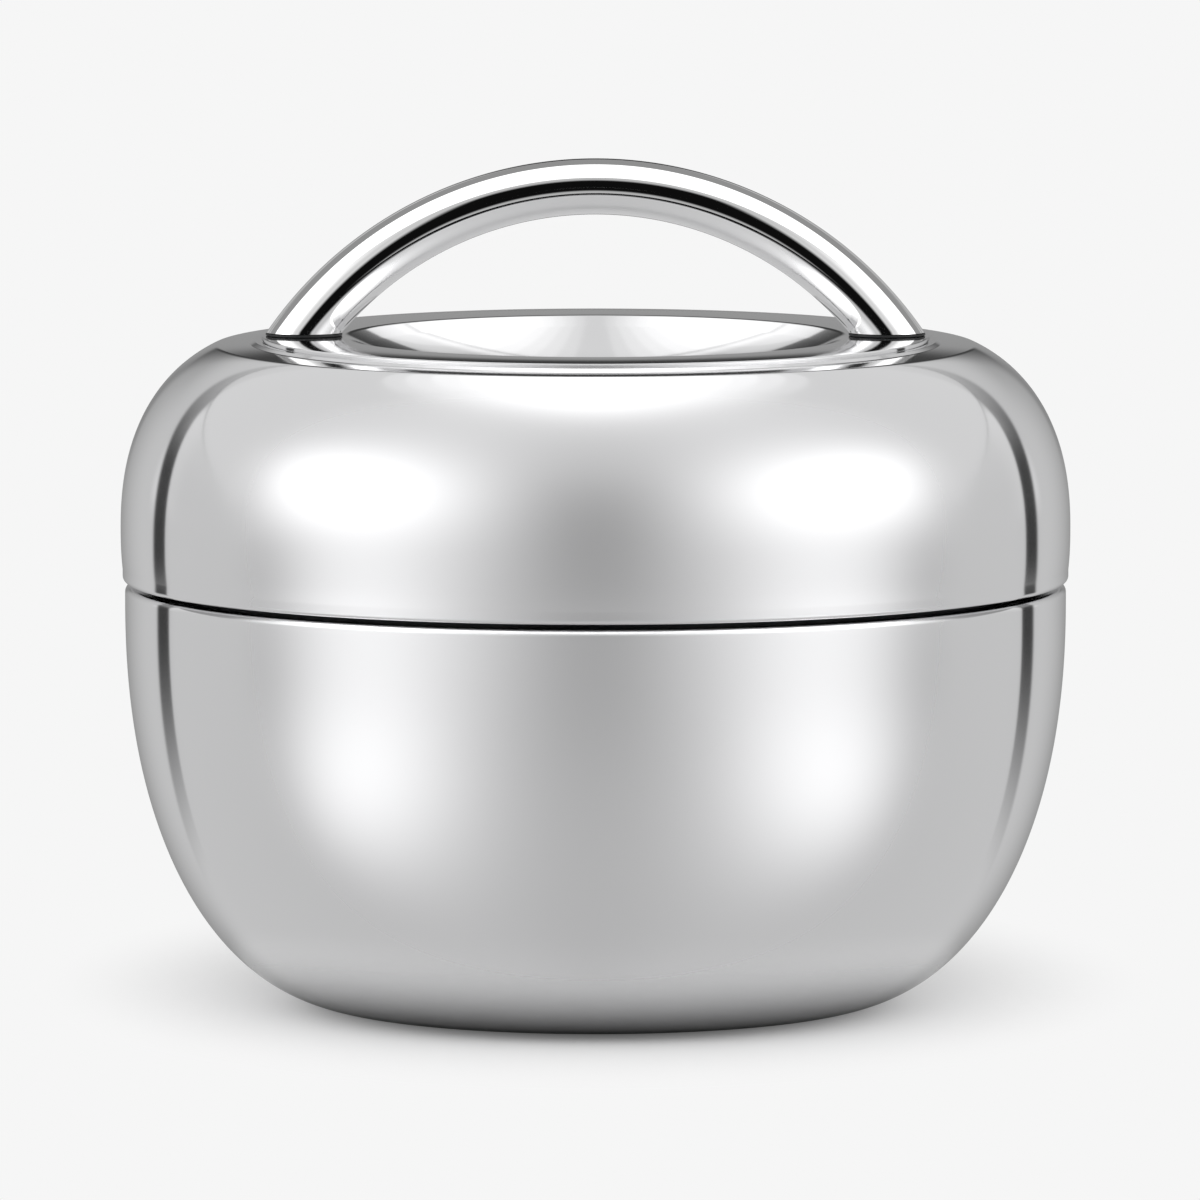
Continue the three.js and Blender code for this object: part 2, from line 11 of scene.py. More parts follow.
import bmesh
import bpy
import numpy as np
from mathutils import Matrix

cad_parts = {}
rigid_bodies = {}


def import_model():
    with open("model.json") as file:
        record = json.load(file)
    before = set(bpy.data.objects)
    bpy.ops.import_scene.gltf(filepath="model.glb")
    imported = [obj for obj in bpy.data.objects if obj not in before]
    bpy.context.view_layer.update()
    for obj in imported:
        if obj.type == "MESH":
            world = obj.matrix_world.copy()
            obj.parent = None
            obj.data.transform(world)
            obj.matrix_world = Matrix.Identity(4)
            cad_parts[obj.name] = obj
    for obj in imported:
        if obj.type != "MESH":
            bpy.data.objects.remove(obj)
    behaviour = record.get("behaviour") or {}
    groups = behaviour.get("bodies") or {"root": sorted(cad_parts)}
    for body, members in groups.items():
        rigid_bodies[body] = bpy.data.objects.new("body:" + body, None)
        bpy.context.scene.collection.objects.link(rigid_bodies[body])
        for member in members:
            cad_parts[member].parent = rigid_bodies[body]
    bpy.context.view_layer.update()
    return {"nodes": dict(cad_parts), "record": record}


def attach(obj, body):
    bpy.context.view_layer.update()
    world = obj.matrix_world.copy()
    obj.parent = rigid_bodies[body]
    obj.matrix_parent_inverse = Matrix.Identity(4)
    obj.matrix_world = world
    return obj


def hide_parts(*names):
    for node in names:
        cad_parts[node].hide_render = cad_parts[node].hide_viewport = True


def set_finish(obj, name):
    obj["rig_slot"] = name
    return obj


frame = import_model()

# %% [markdown]
# ## Profiles
#
# On the real box every edge of pressed steel and moulded plastic is a little round, and those rounds
# are what catches the light. A Bevel modifier could make them on the finished meshes, but then each edge
# needs a weight of its own. Here a profile is an array of (radius, height) rows in millimetres, and its
# corners become arcs before it is turned, so each piece has the rounds that it needs.

# %% Curves
POLE = 0.001  # radius that stands for the axis: the points round it merge into one
STRAIGHT = math.radians(88)  # half the angle at a corner that is too blunt to round
MOST = 0.45  # share of a side that a round may take


def superellipse(r, z, reach, rise, power, start, stop, steps):
    """Points at turns from start to stop, for turns of up to a quarter.

    Radius = r + reach * cos^(2/power) and height = z + rise * sin^(2/power). A power of 2 is an ellipse,
    and a higher power is squarer.
    """
    turn = np.linspace(start, stop, steps + 1)
    across = np.maximum(np.cos(turn), 0) ** (2 / power)
    up = np.sign(turn) * np.abs(np.sin(turn)) ** (2 / power)
    return np.column_stack([r + reach * across, z + rise * up])


def rounded(points, radius, steps=6):
    """Line through the points with each inner corner replaced by an arc of that radius, or of what fits.

    The arc starts at radius / tan(half the angle) from the corner, and at most at MOST of either side.
    """
    points = np.asarray(points, float)
    out = [points[:1]]
    for before, corner, after in zip(points[:-2], points[1:-1], points[2:]):
        a, b = before - corner, after - corner
        la, lb = np.linalg.norm(a), np.linalg.norm(b)
        a, b = a / la, b / lb
        half = 0.5 * math.acos(np.clip(a @ b, -1, 1))
        if half > STRAIGHT:
            out.append(corner[None])
            continue
        back = min(radius / math.tan(half), MOST * la, MOST * lb)
        middle = corner + (a + b) / np.linalg.norm(a + b) * back / math.cos(half)
        start, stop = corner + a * back - middle, corner + b * back - middle
        share = np.linspace(0, 1, steps + 1)[:, None]
        bend = start * (1 - share) + stop * share
        bend *= np.linalg.norm(start) / np.linalg.norm(bend, axis=1)[:, None]
        out.append(middle + bend)
    return np.vstack([*out, points[-1:]])


# %% Closed profiles
SHEET = 0.8  # pressed steel


def rounded_loop(points, radius, steps=4):
    """Closed profile with every corner rounded."""
    points = np.asarray(points, float)
    wrapped = np.vstack([points[-1:], points, points[:1]])
    return rounded(wrapped, radius, steps)[1:-1]


def left_of(points, distance):
    """The line at a distance to the left: each point moves along the mean of its two segments' normals."""
    step = np.diff(points, axis=0)
    step /= np.linalg.norm(step, axis=1)[:, None]
    normal = np.column_stack([-step[:, 1], step[:, 0]])
    a = np.vstack([normal[:1], normal])
    b = np.vstack([normal, normal[-1:]])
    return points + distance * (a + b) / (1 + (a * b).sum(axis=1))[:, None]


def pressed(skin):
    """Closed profile of sheet steel: there along its visible side, and back one wall to the left."""
    return np.vstack([skin, left_of(skin, SHEET)[::-1]])


def ring(inner, outer, low, high, radius):
    """Closed profile of a ring: a rectangle with rounded corners."""
    return rounded_loop([[inner, low], [outer, low], [outer, high], [inner, high]], radius)


# %% [markdown]
# ## Meshes
#
# Blender's Screw modifier or Spin tool could turn a profile. numpy does it in one step instead: a grid
# has one row for each point of the profile and one column for each station round the axis. It also lets
# a wall carry the thread as a relief. Each finished piece rides on the body that it belongs to, takes the
# place of its CAD node and names its material slot.

# %% Mesh functions
MM = 0.001
STATIONS = 256
MERGE = 1e-7  # metres
SHARP = math.radians(40)


def mesh_object(name, points, faces, body, nodes, slot):
    """Mesh in metres from points in millimetres, riding on a body in place of CAD nodes."""
    mesh = bpy.data.meshes.new(name)
    mesh.from_pydata(np.asarray(points) * MM, [], faces)
    shape = bmesh.new()
    shape.from_mesh(mesh)
    bmesh.ops.remove_doubles(shape, verts=shape.verts, dist=MERGE)
    bmesh.ops.recalc_face_normals(shape, faces=shape.faces)
    shape.to_mesh(mesh)
    shape.free()
    mesh.shade_smooth()
    mesh.set_sharp_from_angle(angle=SHARP)
    piece = bpy.data.objects.new(name, mesh)
    bpy.context.scene.collection.objects.link(piece)
    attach(piece, body)
    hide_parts(*nodes)
    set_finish(piece, slot)
    return piece


def grid_faces(rows, columns):
    """Quads of a grid that closes on itself both ways: the next row and column wrap round to the first."""
    row, column = np.meshgrid(np.arange(rows), np.arange(columns), indexing="ij")
    below, beside = (row + 1) % rows, (column + 1) % columns
    corners = [row * columns + column, below * columns + column,
               below * columns + beside, row * columns + beside]
    return np.stack(corners, axis=-1).reshape(-1, 4).tolist()


def turn_profile(profile, relief=None, stations=STATIONS):
    """Grid of points: each profile row at every station's angle.

    The point is (radius * cos, radius * sin, height), and a relief(angle, radius, height) adds to the radius.
    """
    angle = np.linspace(0, 2 * np.pi, stations, endpoint=False)[None, :]
    radius, height = profile[:, :1], profile[:, 1:]
    radius = radius + (relief(angle, radius, height) if relief else 0 * angle)
    return np.stack([radius * np.cos(angle), radius * np.sin(angle), height + 0 * angle], axis=-1)


def revolved(name, profile, body, slot, relief=None, stations=STATIONS):
    """Body of revolution from a closed profile, in place of the CAD node of its name."""
    grid = turn_profile(np.asarray(profile), relief, stations)
    piece = mesh_object(name, grid.reshape(-1, 3), grid_faces(len(profile), stations), body, [name], slot)
    print(f"{name}: {len(piece.data.polygons)} faces")
    return piece


# %% [markdown]
# ## Bowl
#
# The outer shell is spun from sheet steel. It runs from the recess in its base, round the flat foot and
# up a full curve to a rolled rim. A sphere or an ellipse would be too round at the foot, so the side is a
# superellipse. The food bowl inside is a second pressing, with a straight wall under its lip.

# %% Bowl shell
FIT = 0.25  # clearance between pieces that nest
EDGE_ROUND = 2.0  # rolled edges of bowl and lid
EDGE_STEPS = 12
FOOT_Z = 0.5  # foot of the shell over the table
BOWL_RADIUS = 81.75
BOWL_FLAT = 39.4  # radius of the flat base
BOWL_POWER = 2.2
BOWL_BELT_Z = 71.75  # widest level
BOWL_RIM_Z = 74.3
OPENING = 29.0  # radius of the hole in the base
RECESS_TOP = 33.2
RECESS_FOOT = 34.0
RECESS_Z = 3.1  # ceiling of the recess
RECESS_ROUND = 0.7
NECK_OUTER = 74.5

bowl_curve = superellipse(BOWL_FLAT, BOWL_BELT_Z, BOWL_RADIUS - BOWL_FLAT, BOWL_BELT_Z - FOOT_Z,
                          BOWL_POWER, -np.pi / 2, 0, 90)
base_line = rounded([[OPENING, RECESS_Z], [RECESS_TOP, RECESS_Z], [RECESS_FOOT, FOOT_Z],
                     bowl_curve[0], bowl_curve[1]], RECESS_ROUND)[:-1]
bowl_rim = rounded([bowl_curve[-1], [BOWL_RADIUS, BOWL_RIM_Z], [NECK_OUTER + FIT, BOWL_RIM_Z]],
                   EDGE_ROUND, EDGE_STEPS)[1:]
bowl_skin = np.vstack([base_line, bowl_curve[1:], bowl_rim])
bowl_shell = revolved("bowl_outer_shell", pressed(bowl_skin), "bowl", "polished_steel")

# %% Food bowl
MOUTH = 70.0  # inner radius
MOUTH_Z = 85.7  # top of the lip
LIP_OUTER = NECK_OUTER - 0.4
LIP_ROUND = 1.2
LINER_BEND_Z = 58.3  # level where the straight wall ends
LINER_REACH = 36.0  # of the curve under it
LINER_FALL = 44.8
LINER_POWER = 2.3

liner_curve = superellipse(MOUTH - LINER_REACH, LINER_BEND_Z, LINER_REACH, LINER_FALL,
                           LINER_POWER, 0, -np.pi / 2, 48)
liner_lip = rounded([[LIP_OUTER, MOUTH_Z], [MOUTH, MOUTH_Z], liner_curve[0]], LIP_ROUND, 8)
liner_skin = np.vstack([liner_lip[:-1], liner_curve, [[POLE, LINER_BEND_Z - LINER_FALL]]])
revolved("bowl_inner_liner", pressed(liner_skin), "bowl", "brushed_steel")

# %% [markdown]
# ## Thread
#
# The lid turns on short lugs, as on a jar. A curve with a bevel could sweep each lug, and would then have
# to be joined to its wall. Here the lugs are relief on the upright wall itself: along each lug the middle
# line climbs with the lead, the height falls off over the flanks, and both ends run out. The lid's lugs
# stand half a pitch away from the neck's, and point inwards.

# %% Thread relief
STARTS = 6
LEAD = 36.0  # rise in one turn
LUG_DEPTH = 1.5
LUG_WIDTH = 2.6
LUG_LOW_Z = 76.4
LUG_HIGH_Z = 84.0
ON_WALL = 0.01  # rows this near the wall's radius carry lugs
THREAD_STATIONS = 384

pitch = 2 * np.pi / STARTS
lug_sweep = (LUG_HIGH_Z - LUG_LOW_Z - LUG_WIDTH) / LEAD * 2 * np.pi
lug_middle_z = (LUG_LOW_Z + LUG_HIGH_Z) / 2
lug_flank = LUG_WIDTH / 4
lug_run_out = lug_sweep / 5


def lugs(wall_radius, first, outward):
    """Relief on a wall: depth * share of the flank * share of the run-out, for lugs from a first angle on."""
    def relief(angle, radius, height):
        along = (angle - first + pitch / 2) % pitch - pitch / 2
        away = np.abs(height - lug_middle_z - LEAD * along / (2 * np.pi))
        flank = np.clip((LUG_WIDTH / 2 - away) / lug_flank, 0, 1)
        end = np.clip((lug_sweep / 2 - np.abs(along)) / lug_run_out, 0, 1)
        return outward * LUG_DEPTH * flank * end * (np.abs(radius - wall_radius) < ON_WALL)
    return relief


def upright(radius, start, stop, steps=44):
    """Rows of a wall between two heights, close enough together to carry the lugs."""
    return np.column_stack([np.full(steps + 1, radius), np.linspace(start, stop, steps + 1)])


print(f"{STARTS} lugs of {math.degrees(lug_sweep):.0f} degrees")

# %% [markdown]
# ## Neck, base and seal
#
# The neck is a moulded ring between the two walls, with a flange under the bowl's rim and the lugs on its
# outside. A gasket on the flange keeps water out. A moulded cap closes the base, and a silicone ring in
# it is what the box stands on. The seal is a silicone ring that the lid presses on the food bowl's lip.

# %% Neck
NECK_INNER = 71.05
NECK_FOOT_Z = 69.3
NECK_TOP_Z = 84.8
NECK_ROUND = 0.8
FLANGE = 79.7
FLANGE_TOP_Z = 72.3
FLANGE_ROUND = 0.4
BLEND = 2.0  # straight run beside a round
NECK_GASKET = (72.4, 73.4, 0.2)  # foot, top, edge radius

neck_line = rounded([[NECK_INNER, NECK_FOOT_Z], [FLANGE, NECK_FOOT_Z], [FLANGE, FLANGE_TOP_Z],
                     [NECK_OUTER, FLANGE_TOP_Z], [NECK_OUTER, FLANGE_TOP_Z + BLEND]], FLANGE_ROUND)[:-1]
neck_wall = upright(NECK_OUTER, FLANGE_TOP_Z + BLEND, NECK_TOP_Z - NECK_ROUND)
neck_cap = rounded([[NECK_OUTER, NECK_TOP_Z - BLEND], [NECK_OUTER, NECK_TOP_Z], [NECK_INNER, NECK_TOP_Z],
                    [NECK_INNER, NECK_TOP_Z - BLEND]], NECK_ROUND)[1:]
# The ring's near-black plastic is partly its own colour and partly painted shade: it makes the groove between
# lid and bowl read as a black line.
revolved("neck_ring", np.vstack([neck_line, neck_wall, neck_cap]), "bowl", "dark_plastic",
         lugs(NECK_OUTER, 0, 1), THREAD_STATIONS)
revolved("neck_gasket", ring(NECK_OUTER + FIT, FLANGE, *NECK_GASKET), "bowl", "black_silicone")

# %% Base
FOOT_RING = (27.35, 31.35)  # inner and outer radius
FOOT_RING_Z = 2.0
FOOT_RING_ROUND = 0.35
CAP_FOOT_Z = 0.9
CAP_TOP_Z = 3.0
CAP_SEAT_Z = FOOT_RING_Z + 0.1  # top of the groove for the ring
SPIGOT_Z = 5.2
SPIGOT_WALL = 2.0
CAP_ROUND = 0.25

revolved("foot_ring", ring(*FOOT_RING, 0, FOOT_RING_Z, FOOT_RING_ROUND), "bowl", "black_silicone")
seat_in, seat_out = FOOT_RING[0] - FIT, FOOT_RING[1] + FIT
cap_rim, spigot = RECESS_TOP - FIT, OPENING - FIT
base_cap = [[POLE, CAP_FOOT_Z], [seat_in, CAP_FOOT_Z], [seat_in, CAP_SEAT_Z], [seat_out, CAP_SEAT_Z],
            [seat_out, CAP_FOOT_Z], [cap_rim, CAP_FOOT_Z], [cap_rim, CAP_TOP_Z], [spigot, CAP_TOP_Z],
            [spigot, SPIGOT_Z], [spigot - SPIGOT_WALL, SPIGOT_Z], [spigot - SPIGOT_WALL, CAP_TOP_Z],
            [POLE, CAP_TOP_Z]]
revolved("base_cap", rounded_loop(base_cap, CAP_ROUND), "bowl", "dark_plastic")

# %% Seal
SEAL_INNER = 70.6
SEAL_OUTER = 73.6
SEAL_FOOT_Z = 85.8
SEAL_TOP_Z = 88.2
SEAL_TAPER = 0.75  # slope on both sides of the edge that seals
SEAL_ROUND = 0.3

seal = [[SEAL_INNER + SEAL_TAPER, SEAL_FOOT_Z], [SEAL_OUTER - SEAL_TAPER, SEAL_FOOT_Z],
        [SEAL_OUTER, SEAL_FOOT_Z + SEAL_TAPER], [SEAL_OUTER, SEAL_TOP_Z],
        [SEAL_INNER, SEAL_TOP_Z], [SEAL_INNER, SEAL_FOOT_Z + SEAL_TAPER]]
revolved("lid_seal", rounded_loop(seal, SEAL_ROUND), "seal", "clear_silicone")

# %% [markdown]
# ## Levels at the top of the lid
#
# The handle's feet decide how wide the land is that they stand on, and the land decides where the dish
# and everything under it lie. So the arc of the handle is worked out first: a circle through both feet
# and the crown.

# %% Levels
SPAN = 101.2  # between the middles of the handle's feet
RISE = 25.4  # of the handle's middle line
FOOT = 5.3  # radius of the tube at its feet
LAND_MARGIN = 0.6  # land on either side of a foot
LID_BELT_Z = 84.1  # widest level of the lid
SHOULDER = 52.2  # radius where the shoulder's curve has its centre
SHOULDER_REACH = 30.3
SHOULDER_RISE = 34.6
SHOULDER_POWER = 2.3
BEAD_WIDTH = 1.0  # to the line on the shoulder's curve that sets the levels
LAND_DROP = 0.65  # land under that line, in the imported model
DISH_DEPTH = 9.5
FOAM = 6.6  # least foam under the dish
CAP_WALL = 2.0  # moulded inner lid
TOUCH = 0.1  # gap where pieces rest on one another
PAD = 0.45  # gasket under each foot

foot_reach = SPAN / 2
arch_radius = (foot_reach**2 + RISE**2) / (2 * RISE)
arch_sweep = math.asin(foot_reach / arch_radius)
foot_long = FOOT / math.sin(arch_sweep)  # half the length of a foot, which is cut level
land_radius = foot_reach + foot_long + LAND_MARGIN
dish_radius = foot_reach - foot_long - LAND_MARGIN
bead_wall = land_radius + FIT
bead_share = (bead_wall + BEAD_WIDTH - SHOULDER) / SHOULDER_REACH
bead_z = LID_BELT_Z + SHOULDER_RISE * (1 - bead_share**SHOULDER_POWER) ** (1 / SHOULDER_POWER)
land_z = bead_z - LAND_DROP
ledge_z = land_z - SHEET - TOUCH
dish_floor_z = land_z - DISH_DEPTH
ceiling_z = dish_floor_z - SHEET - FIT - FOAM - FIT - CAP_WALL
gasket_z = land_z + TOUCH
handle_z = gasket_z + PAD + TOUCH
print(f"land at {land_z:.2f} mm, feet of the handle at {handle_z:.2f} mm")

# %% [markdown]
# ## Lid
#
# The lid is spun like the bowl. Its edge is rolled in below, its shoulder ends at a crease, and from there
# a nearly flat collar runs in to a low bead. The dish is a separate pressing: a flat land inside the bead,
# and part of a sphere. In the photograph the collar and the edge of the land are two dark lines with a
# bright one between them, so both are shaped here and not only shaded.

# %% Lid shell
LID_EDGE_Z = 75.1
LID_LIP = 77.3  # inner radius of the rolled edge
COLLAR_OUTER = 66.0
COLLAR_INNER = 60.0
COLLAR_RISE = 0.36
COLLAR_BEND = 3.0  # radius of the bend at the crease
BEAD_SLOPE = 0.8  # width of the bead's outer side
BEAD_RISE = 0.45
BEAD_ROUND = 0.25
LEDGE = 2.0  # ledge under the land, past the edge of the dish

half_power = SHOULDER_POWER / 2
edge_turn = -math.asin(((LID_BELT_Z - LID_EDGE_Z - EDGE_ROUND) / SHOULDER_RISE) ** half_power)
crease_turn = math.acos(((COLLAR_OUTER - SHOULDER) / SHOULDER_REACH) ** half_power)
shoulder = superellipse(SHOULDER, LID_BELT_Z, SHOULDER_REACH, SHOULDER_RISE, SHOULDER_POWER,
                        edge_turn, crease_turn, 110)
lid_radius_low = shoulder[0, 0]
lid_edge = rounded([[LID_LIP, LID_EDGE_Z], [lid_radius_low, LID_EDGE_Z], shoulder[0]], EDGE_ROUND, EDGE_STEPS)
collar_z = shoulder[-1, 1] + COLLAR_RISE
bead_top = collar_z + BEAD_RISE
collar = rounded([shoulder[-4], shoulder[-1], [COLLAR_INNER, collar_z]], COLLAR_BEND, 8)[1:-1]
bead = rounded([collar[-1], [COLLAR_INNER, collar_z], [COLLAR_INNER - BEAD_SLOPE, bead_top],
                [bead_wall, bead_top], [bead_wall, ledge_z], [dish_radius + LEDGE, ledge_z]],
               BEAD_ROUND, 10)[1:]
lid_skin = np.vstack([lid_edge[:-1], shoulder[:-3], collar, bead])
lid_shell = revolved("lid_outer_shell", pressed(lid_skin), "lid", "polished_steel")

# %% Dish
LAND_TOP_DROP = 0.6  # of the land's top under the line that sets the levels
LAND_ROUND = 0.35  # outer edge of the land
DISH_ROUND = 2.5  # where the land turns down into the dish
BLEND_ROW = 5  # row of the sphere where that round may end

dish_curve = (dish_radius**2 + DISH_DEPTH**2) / (2 * DISH_DEPTH)
fall = np.linspace(math.asin(dish_radius / dish_curve), 0, 61)[:, None]
dish_bowl = np.hstack([dish_curve * np.sin(fall), dish_floor_z + dish_curve * (1 - np.cos(fall))])
dish_bowl[-1, 0] = POLE
land_top = bead_z - LAND_TOP_DROP
land = rounded([[land_radius, land_top], [dish_radius, land_top], dish_bowl[BLEND_ROW]], DISH_ROUND, 10)
land_edge = rounded([[land_radius, land_top - SHEET], [land_radius, land_top], land[1]], LAND_ROUND)[1:-1]
dish_loop = pressed(np.vstack([land[:-1], dish_bowl[BLEND_ROW:]]))
dish = revolved("lid_dish", np.vstack([land_edge, dish_loop[1:]]), "lid", "polished_steel")

# %% [markdown]
# ## Inner lid
#
# The inner lid is one moulding: a shallow dome over the food, a groove for the seal, a skirt with the lugs
# inside it, and a flange that closes the lid from below. It isn't in view when the lid is on, but it is
# when the lid is raised. One closed profile goes all the way round, and only its skirt carries relief.

# %% Inner lid
DOME_RADIUS = 68.1
GROOVE_Z = 88.3
GROOVE_GAP = 0.5  # beside the seal
RIB_Z = 86.9  # foot of the ribs on both sides of the groove
RIB_BLEND = 1.5
SKIRT_INNER = 76.5
SKIRT_OUTER = 78.5
SKIRT_FOOT_Z = 76.0
MOULD_ROUND = 0.4

dome_foot_z = GROOVE_Z + CAP_WALL
dome_outer = DOME_RADIUS + CAP_WALL
ceiling_top = ceiling_z + CAP_WALL
flange = lid_radius_low - EDGE_ROUND - FIT
flange_top = SKIRT_FOOT_Z + CAP_WALL
groove_in, groove_out = SEAL_INNER - GROOVE_GAP, SEAL_OUTER + GROOVE_GAP
below = rounded([[POLE, ceiling_z], [DOME_RADIUS, ceiling_z], [DOME_RADIUS, RIB_Z]],
                ceiling_z - dome_foot_z, 14)
groove = rounded([[DOME_RADIUS, RIB_Z + BLEND], [DOME_RADIUS, RIB_Z], [groove_in, RIB_Z],
                  [groove_in, GROOVE_Z], [groove_out, GROOVE_Z], [groove_out, RIB_Z],
                  [SKIRT_INNER, RIB_Z], [SKIRT_INNER, RIB_Z - BLEND]], MOULD_ROUND, 4)[1:-1]
skirt_wall = upright(SKIRT_INNER, RIB_Z - RIB_BLEND, SKIRT_FOOT_Z + MOULD_ROUND)
above = rounded([[SKIRT_INNER, SKIRT_FOOT_Z + MOULD_ROUND], [SKIRT_INNER, SKIRT_FOOT_Z],
                 [flange, SKIRT_FOOT_Z], [flange, flange_top], [SKIRT_OUTER, flange_top],
                 [SKIRT_OUTER, dome_foot_z], [dome_outer, dome_foot_z], [dome_outer, ceiling_top],
                 [POLE, ceiling_top]], MOULD_ROUND)[1:]
revolved("lid_liner", np.vstack([below[:-1], groove, skirt_wall, above]), "lid", "pale_plastic",
         lugs(SKIRT_INNER, pitch / 2, -1), THREAD_STATIONS)

# %% [markdown]
# ## Handle
#
# A round tube on an arc, a little stouter towards its feet, which are cut level and stand on thin gaskets.
# A bevelled curve could make the tube, but its ends would be cut square. Here each of the tube's long
# lines ends where it meets the level of the feet, so the turn at which it ends depends on the side that
# it runs along.

# %% Handle
CROWN = 4.87  # radius of the tube at the crown
TUBE_WALL = 1.2
TUBE_STEPS = 200
TUBE_SIDES = 64
ROUNDS = 20  # repeats that settle the last turn of each line


def tube_radius(turn):
    """Radius at a turn from the crown: it grows with the square of the turn."""
    return CROWN + (FOOT - CROWN) * (turn / arch_sweep) ** 2


def tube_skin(inset):
    """Grid of points on the tube, less an inset.

    Reach = radius of the arc + radius of the tube * cos(side). A point is (reach * sin(turn), radius of
    the tube * sin(side), centre + reach * cos(turn)), and each line's last turn solves height = the feet's.
    """
    side = np.linspace(0, 2 * np.pi, TUBE_SIDES, endpoint=False)[None, :]
    centre_z = handle_z + RISE - arch_radius
    end = np.full((1, TUBE_SIDES), arch_sweep)
    for _ in range(ROUNDS):
        reach = arch_radius + (tube_radius(end) - inset) * np.cos(side)
        end = np.arccos((handle_z - centre_z) / reach)
    turn = np.linspace(-1, 1, TUBE_STEPS + 1)[:, None] * end
    radius = tube_radius(turn) - inset
    reach = arch_radius + radius * np.cos(side)
    return np.stack([reach * np.sin(turn), radius * np.sin(side), centre_z + reach * np.cos(turn)], axis=-1)


tube = np.concatenate([tube_skin(0), tube_skin(TUBE_WALL)[::-1]])
handle = mesh_object("handle_tube", tube.reshape(-1, 3), grid_faces(len(tube), TUBE_SIDES),
                     "lid", ["handle_tube"], "polished_steel")
print("handle:", len(handle.data.polygons), "faces")

# %% Foot gaskets
STUD_HOLE = 2.25
PAD_MARGIN = 0.05  # gasket past the tube
PAD_ROUND = 0.15
PAD_STATIONS = 96

pad_radius = FOOT + PAD_MARGIN
for name, side in (("left", -1), ("right", 1)):
    pad_profile = ring(STUD_HOLE, pad_radius, gasket_z, gasket_z + PAD, PAD_ROUND)
    pad = turn_profile(pad_profile, stations=PAD_STATIONS)
    pad[..., 0] *= (foot_long + PAD_MARGIN) / pad_radius
    pad[..., 0] += side * foot_reach
    node = f"foot_gasket_{name}"
    mesh_object(node, pad.reshape(-1, 3), grid_faces(*pad.shape[:2]), "lid", [node], "black_silicone")
print(f"gaskets: {2 * (foot_long + PAD_MARGIN):.1f} by {2 * pad_radius:.1f} mm")

# %% [markdown]
# ## Finishes
#
# Every finish is a Principled shader with a few nodes. One function adds a node, sets what it is given
# and links the rest. Another gives a surface its grain: noise at a real size, which moves the height, the
# roughness and the colour together, because on the real piece the same marks change all three.

# %% Node functions
SMOOTH = {"interpolation_type": "SMOOTHSTEP"}
PLUS = {"operation": "ADD"}
TIMES = {"operation": "MULTIPLY"}
OVER = {"operation": "DIVIDE"}
LENGTH = {"operation": "LENGTH"}


def linear(code):
    """Linear colour from an sRGB hex code: share / 12.92 near black, else ((share + 0.055) / 1.055)^2.4."""
    share = np.array([int(code[i:i + 2], 16) / 255 for i in (1, 3, 5)])
    return (*np.where(share <= 0.04045, share / 12.92, ((share + 0.055) / 1.055) ** 2.4), 1.0)


def add(tree, kind, settings=None, **inputs):
    """Node of a kind with its settings. Inputs go by name, or by number after a line such as _0.

    A node's first output or a socket is linked, and any other value is set.
    """
    node = tree.nodes.new(kind)
    for key, value in (settings or {}).items():
        setattr(node, key, value)
    for key, value in inputs.items():
        socket = node.inputs[int(key[1:]) if key[0] == "_" else key.replace("_", " ")]
        if isinstance(value, bpy.types.Node):
            value = value.outputs[0]
        if isinstance(value, bpy.types.NodeSocket):
            tree.links.new(value, socket)
        else:
            socket.default_value = value
    return node


def finish(name, code, roughness, metallic=0.0):
    """Principled material, with its node tree and its shader for what is added later."""
    made = bpy.data.materials.new(name)
    made.use_nodes = True
    tree = made.node_tree
    tree.nodes.clear()
    shader = add(tree, "ShaderNodeBsdfPrincipled", Base_Color=linear(code), Roughness=roughness,
                 Metallic=metallic)
    add(tree, "ShaderNodeOutputMaterial", Surface=shader)
    return made, tree, shader


def grain(tree, shader, place, size, depth, spread, second):
    """Noise with one cycle per size: bump of a depth, both in mm, roughness +- spread, second colour."""
    roughness, colour = shader.inputs["Roughness"], shader.inputs["Base Color"]
    noise = add(tree, "ShaderNodeTexNoise", Vector=place, Scale=1 / (size * MM), Detail=3.0)
    bump = add(tree, "ShaderNodeBump", Distance=depth * MM, Height=noise)
    rough = add(tree, "ShaderNodeMapRange", Value=noise, To_Min=roughness.default_value - spread,
                To_Max=roughness.default_value + spread)
    tint = add(tree, "ShaderNodeMix", {"data_type": "RGBA"}, _0=noise, _6=tuple(colour.default_value),
               _7=linear(second))
    tree.links.new(bump.outputs[0], shader.inputs["Normal"])
    tree.links.new(rough.outputs[0], roughness)
    tree.links.new(tint.outputs[2], colour)


# %% [markdown]
# ## Steel that shows
#
# Bowl, lid and dish are stainless steel, spun and then buffed. Face on the eye sees soft, satin patches of
# light, and towards the edges the same steel is nearly a mirror, because buffing marks even out at a
# glancing view. A single roughness can't do both, so it falls with the facing angle. The handle is a
# mirror-polished tube, with crisp dark and bright lines along it.

# %% Polished steel
FACE_ON = 0.445  # roughness
GLANCING = 0.066
TURNS = (0.098, 0.58)  # share of facing away over which it falls

buffed, tree, shader = finish("stainless steel, spun and buffed", "#e6e6e7", FACE_ON, 1.0)
facing = add(tree, "ShaderNodeLayerWeight", Blend=0.5).outputs["Facing"]
gloss = add(tree, "ShaderNodeMapRange", SMOOTH, Value=facing, From_Min=TURNS[0], From_Max=TURNS[1],
            To_Min=FACE_ON, To_Max=GLANCING)
tree.links.new(gloss.outputs[0], shader.inputs["Roughness"])
mirror = finish("stainless tube, mirror polished", "#eaeaea", 0.04, 1.0)[0]
print(buffed.name, "and", mirror.name)

